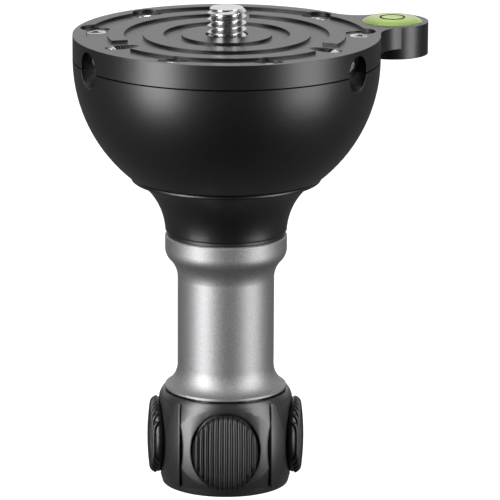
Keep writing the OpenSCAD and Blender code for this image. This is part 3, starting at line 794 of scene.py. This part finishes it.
print("pads", round(pad_h, 2), "mm tall around height", round(pad_z, 2), "mm")

# %% [markdown]
# The body of a pad is an oval cut from the barrel. Its round edge is a tube laid round it: a circle is
# stretched to the oval, pressed on to the barrel with a Shrinkwrap, and thickened as a curve. A bevel on the
# cut edge would be the quicker way, but it breaks up where the oval runs steeply over the barrel.

# %% Body of a grip
EDGE_R = 1.5
PAD_GAP = 0.45
RIM_INSET = EDGE_R + PAD_GAP
RIB_R = 0.58
SUNK = 0.03
face_reach = PAD_R - RIB_R

body = oval("grip_body", RIM_INSET, "NGON")
pull_in(body, face_reach - 2 * EDGE_R)
combine(body, barrel("grip_barrel", face_reach - SUNK), "INTERSECT")

seat = barrel("edge_barrel", face_reach - EDGE_R)
rim = oval("grip_edge", RIM_INSET, "NOTHING")
press = rim.modifiers.new("press", "SHRINKWRAP")
press.wrap_method = "PROJECT"
press.use_project_x = True
press.use_negative_direction = True
press.use_positive_direction = False
press.target = seat
bpy.ops.object.modifier_apply(modifier="press")
bpy.ops.object.convert(target="CURVE")
rim.data.bevel_depth = EDGE_R * MM
rim.data.bevel_resolution = 6
bpy.ops.object.convert(target="MESH")
discard(seat)
clean(rim)
combine(body, rim, "UNION")
print("grip body", len(body.data.polygons), "faces")

# %% [markdown]
# Each rib is a disc that is pulled round the edge, up the bulge of the face and round the edge again, the way
# a ball-nosed tool cuts the mould. One union makes a solid of body and ribs, and four copies go round the
# knob.

# %% Ribs of a grip
RIB_PITCH = 1.22
RIB_SIDE_COUNT = 6
RIB_CURL = math.radians(70)
CURL_STEPS = 5
FACE_STEPS = 6


def rib(turn):
    """A bar that follows the bulge of the pad and curls over its edge, turned about the knob's axis."""
    middle = Vector(((PAD_R - PAD_ARC_R) * MM, 0, PAD_BULGE_Z * MM))
    arc = (PAD_ARC_R - RIB_R) * MM
    side = face_reach * math.sin(turn) / (PAD_W / 2 - PAD_GAP)
    half_length = (pad_h / 2 - PAD_GAP) * math.sqrt(1 - side ** 2) - EDGE_R
    low = (pad_z - half_length - PAD_BULGE_Z) * MM / arc
    high = (pad_z + half_length - PAD_BULGE_Z) * MM / arc
    edges = [middle + (arc - EDGE_R * MM) * Vector((math.cos(end), 0, math.sin(end))) for end in (low, high)]
    bends = [(edges[0], RIB_CURL / CURL_STEPS)] * CURL_STEPS
    bends += [(middle, (high - low) / FACE_STEPS)] * FACE_STEPS
    bends += [(edges[1], RIB_CURL / CURL_STEPS)] * CURL_STEPS
    bpy.ops.object.select_all(action="DESELECT")
    bpy.ops.mesh.primitive_circle_add(vertices=16, radius=RIB_R * MM, fill_type="NGON",
                                      location=middle + Vector((arc, 0, 0)))
    bar = bpy.context.object
    bpy.ops.object.mode_set(mode="EDIT")
    bpy.ops.transform.rotate(value=low, orient_axis="Y", center_override=middle)
    bpy.ops.transform.rotate(value=-RIB_CURL, orient_axis="Y", center_override=edges[0])
    for centre, bend in bends:
        bpy.ops.mesh.extrude_region_move()
        bpy.ops.transform.rotate(value=bend, orient_axis="Y", center_override=centre)
    bpy.ops.mesh.select_all(action="SELECT")
    bpy.ops.transform.rotate(value=turn, orient_axis="Z", center_override=(0, 0, 0))
    bpy.ops.object.mode_set(mode="OBJECT")
    return bar


ribs = [rib(k * RIB_PITCH / PAD_R) for k in range(-RIB_SIDE_COUNT, RIB_SIDE_COUNT + 1)]
choose(*ribs)
bpy.ops.object.join()
bpy.ops.object.transform_apply(location=True, rotation=True, scale=True)
clean(ribs[0])
combine(body, ribs[0], "UNION", many=True)
print("ribbed grip", len(body.data.polygons), "faces")

# %% Four grips
for turn, letter in zip(quarters, "abcd"):
    copy = copied(body, (0, 0, 0), (0, 0, turn))
    copy.name = "ribbed_grip_" + letter
    install(copy, moulded_rubber, "knob", "grip", "grip_pad_" + letter)
discard(body)

# %% [markdown]
# ## The cheeks of the knob
# Seen from above, the knob is a square with bulging sides: between a grip and a corner ridge its wall stands
# a little further out than a plain round. These cheeks are what is left of four wide discs when each is cut
# by the next, the way a fly cutter would shape four sides of a bar. A hollow barrel, slimmer below than
# above, then trims them so that they sink into the knob at its foot and its shoulder, and the ovals of the
# grips are cut out.

# %% Cheeks of the knob
CHEEK_R = 26.0
CHEEK_REACH = 16.25
CHEEK_CORNER_R = 18.15
CHEEK_ARC_LOW_R = 31.3
CHEEK_ARC_HIGH_R = 24.3
CHEEK_IN_R = 14.0
CHEEK_Z = 12.9
CHEEK_FOOT_Z = 1.3
CHEEK_TOP_Z = 22.7
CHEEK_STEPS = 24
POCKET_IN_R = 13.0


def cheek_disc(turn):
    """A wide upright disc whose rim makes one bulging side of the knob."""
    shift = (CHEEK_REACH - CHEEK_R) * MM
    centre = (shift * math.cos(turn), shift * math.sin(turn), CHEEK_Z * MM)
    bpy.ops.object.select_all(action="DESELECT")
    bpy.ops.mesh.primitive_cylinder_add(vertices=360, radius=CHEEK_R * MM, depth=2 * CHEEK_TOP_Z * MM,
                                        location=centre)
    bpy.ops.object.transform_apply(location=True, rotation=True, scale=True)
    return bpy.context.object


cheeks = cheek_disc(quarters[0])
cheeks.name = "knob_cheeks"
for turn in quarters[1:]:
    combine(cheeks, cheek_disc(turn), "INTERSECT")
corner = []
for step in range(CHEEK_STEPS + 1):
    height = CHEEK_FOOT_Z + (CHEEK_TOP_Z - CHEEK_FOOT_Z) * step / CHEEK_STEPS
    arc_r = CHEEK_ARC_HIGH_R if height > CHEEK_Z else CHEEK_ARC_LOW_R
    corner.append((CHEEK_CORNER_R - arc_r + math.sqrt(arc_r ** 2 - (height - CHEEK_Z) ** 2), height))
inner_foot = (CHEEK_IN_R, CHEEK_FOOT_Z)
inner_top = (CHEEK_IN_R, CHEEK_TOP_Z)
trim = lathe("cheek_trim", [inner_foot] + corner + [inner_top, inner_foot], steps=180)
combine(cheeks, trim, "INTERSECT")
pocket = oval("grip_pocket", 0.0, "NGON")
pull_in(pocket, POCKET_IN_R)
for turn in quarters:
    combine(cheeks, copied(pocket, (0, 0, 0), (0, 0, turn)), "DIFFERENCE")
discard(pocket)
install(cheeks, moulded_nylon, "knob", "knob")

# %% [markdown]
# ## The bubble level
# The level is a clear acrylic cup filled with dyed spirit over a lime-coloured base. Cup and fluid share a
# wall in the solids, and two glassy faces in one place confuse the light. So the cup is turned here as one
# clear lens, and the fluid with its bubble lies embedded in it. Its top is a flat dome that falls off towards
# the edge, as a moulded window does, so that the rim is almost level with the lug.

# %% Level cup
CUP_FLAT_R = 5.6
CUP_FALL = 0.5
DOME_R = 90.0
DOME_STEPS = 12

cup_low, cup_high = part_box("vial_cup")
cup_r = (cup_high.x - cup_low.x) / 2 / MM
cup_top = cup_high.z / MM
cup_foot = cup_low.z / MM


def dome(radius):
    """Height of the cup's top at a distance from its axis."""
    past = max(0.0, (radius - CUP_FLAT_R) / (cup_r - CUP_FLAT_R))
    return cup_top - DOME_R + math.sqrt(DOME_R ** 2 - radius ** 2) - CUP_FALL * past ** 2


top_side = [(cup_r * k / DOME_STEPS, dome(cup_r * k / DOME_STEPS)) for k in range(DOME_STEPS, -1, -1)]
cup = lathe("level_cup", [(0, cup_foot), (cup_r, cup_foot)] + top_side, steps=96)
cup.location = ((cup_low.x + cup_high.x) / 2, (cup_low.y + cup_high.y) / 2, 0)
install(cup, clear_acrylic, "head", "vial_clear", "vial_cup")
